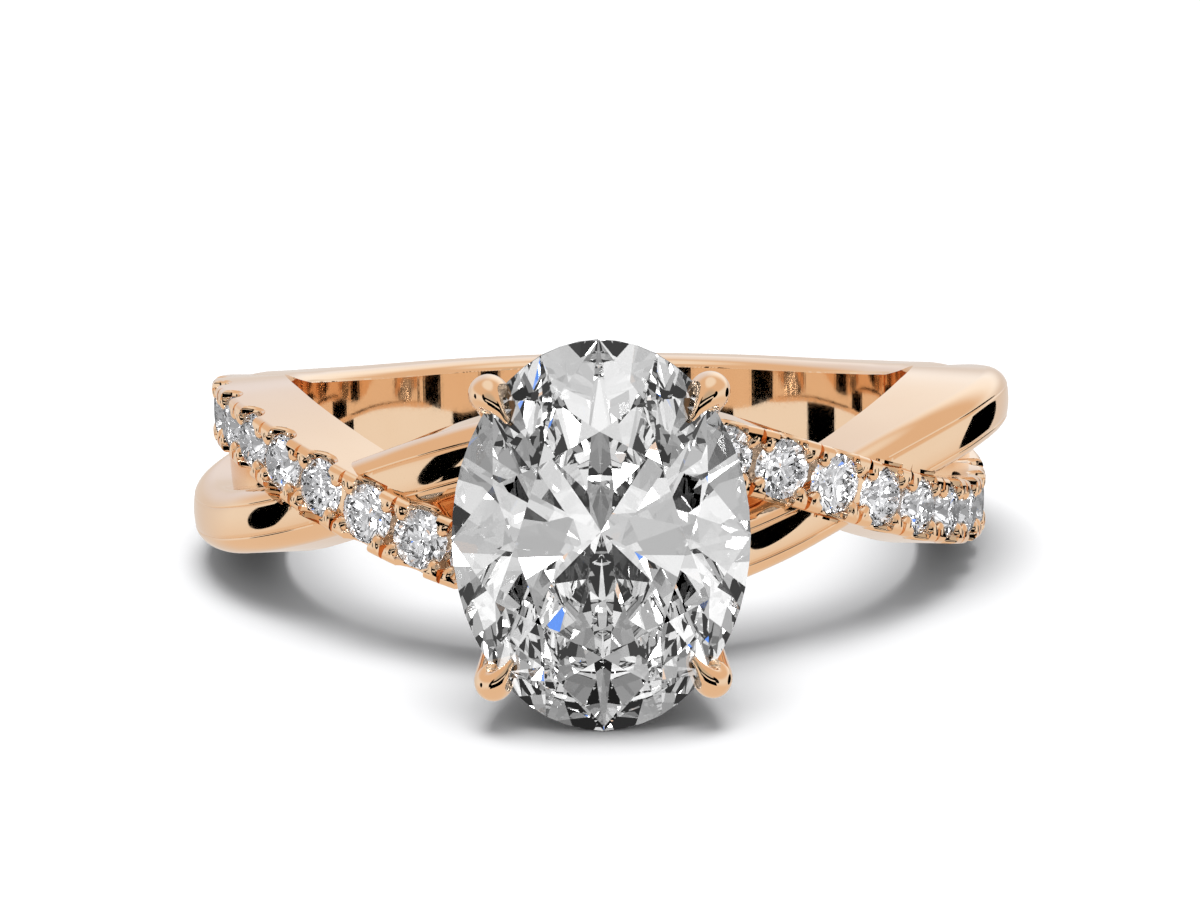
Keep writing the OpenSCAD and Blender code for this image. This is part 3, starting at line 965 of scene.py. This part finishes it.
# %% Sheets within the tents
CARD_DISTANCE = 0.90
RECTANGLE, OVAL = 4, 32


def glowing(name, code, strength):
    material, tree = new_material(name)
    shader = add_node(tree, "ShaderNodeEmission", {"Color": linear(code), "Strength": strength})
    add_node(tree, "ShaderNodeOutputMaterial", {"Surface": shader.outputs[0]})
    return material


def sheets(name, areas, material, corners, mirrored):
    """One mesh of rectangles, or of ovals with many corners, that stand round the ring."""
    points, faces = [], []
    for az_from, az_to, el_from, el_to in areas:
        turns = [math.radians(45 + 360 * i / corners) for i in range(corners)]
        grow = math.sqrt(2) if corners == RECTANGLE else 1
        faces.append(tuple(range(len(points), len(points) + corners)))
        for turn in turns:
            azimuth = (az_from + az_to) / 2 + grow * math.cos(turn) * (az_to - az_from) / 2
            elevation = (el_from + el_to) / 2 + grow * math.sin(turn) * (el_to - el_from) / 2
            points.append(towards(azimuth, elevation) * CARD_DISTANCE)
    mesh = bpy.data.meshes.new(name)
    mesh.from_pydata(points, [], faces)
    mesh.materials.append(material)
    made = bpy.data.objects.new(name, mesh)
    bpy.context.collection.objects.link(made)
    seen_by(made, mirrored, not mirrored)


def lamp_strip(azimuth, elevation, start, end):
    """Part of a lamp, from start to end across it, as a rectangle."""
    wide = 1 / math.cos(math.radians(elevation))
    return (azimuth + start * wide, azimuth + end * wide, elevation - LAMP_REACH, elevation + LAMP_REACH)


black_felt = glowing("black_felt", "#000000", 0.0)
sheets("cards_for_metal", METAL_CARDS, black_felt, OVAL, True)
sheets("long_card_for_metal", LONG_CARDS, black_felt, RECTANGLE, True)
sheets("cards_for_stones", STONE_CARDS, black_felt, RECTANGLE, False)
for name, code, strength, start, end in (("bare_lamp", "#FFFFFF", 10.0, -LAMP_REACH, LAMP_REACH),
                                         ("blue_fire", "#5F9AFF", 1.3, LAMP_REACH, LAMP_REACH + FRINGE),
                                         ("orange_fire", "#FFDCC2", 1.1, -LAMP_REACH - FRINGE, -LAMP_REACH)):
    strips = [lamp_strip(*at, start, end) for at in LAMPS]
    sheets(name, strips, glowing(name, code, strength), RECTANGLE, False)
print("sheets stand", CARD_DISTANCE, "m from the frame's origin")

# %% [markdown]
# ## Enough bounces for a diamond
# A ray that enters a diamond is mirrored from facet to facet before it comes out again. Blender
# gives up after four mirror bounces, and the facets behind stay grey. More bounces let them
# light up. Caustics, the spots that mirrors and stones throw on matt paper, are left out, as
# they would come out as noise.

# %% Light paths
FACET_BOUNCES = 12
light_paths = bpy.context.scene.cycles
light_paths.max_bounces = FACET_BOUNCES
light_paths.glossy_bounces = FACET_BOUNCES
light_paths.transmission_bounces = FACET_BOUNCES
light_paths.caustics_reflective = False
light_paths.caustics_refractive = False
print("bounces:", light_paths.max_bounces)

# %% [markdown]
# ## The camera
# The photograph was taken close to, a little above the ring's own plane. Working back from the
# circle of the finger hole gives the distance and the angle. The picture is rolled slightly.

# %% Camera
CAMERA_DISTANCE = 77.5 * MM
ABOVE_RING_PLANE = 8.78
FOCAL_PIXELS, PHOTO_WIDTH = 2787.0, 1200.0
RING_CENTRE_ABOVE_MIDDLE = 4.0
ROLL = 0.0142
SENSOR = 36.0

camera_data = bpy.data.cameras.new("camera")
camera_data.sensor_width = SENSOR
camera_data.lens = FOCAL_PIXELS / PHOTO_WIDTH * SENSOR
camera_data.shift_y = -RING_CENTRE_ABOVE_MIDDLE / PHOTO_WIDTH
camera_data.clip_start = 0.005
camera = bpy.data.objects.new("camera", camera_data)
view_line = towards(0, ABOVE_RING_PLANE + math.degrees(REST_TILT))
look = view_line.to_track_quat("Z", "Y").to_matrix().to_4x4()
camera.matrix_world = (Matrix.Translation(RING_CENTRE + view_line * CAMERA_DISTANCE) @ look
                       @ Matrix.Rotation(-ROLL, 4, "Z"))
bpy.context.collection.objects.link(camera)
bpy.context.scene.camera = camera
bpy.context.scene.view_settings.view_transform = "Standard"
print("lens, mm:", round(camera_data.lens, 1),
      "camera height above floor, mm:", round(camera.location.z / MM, 1))

# %% The end
import json
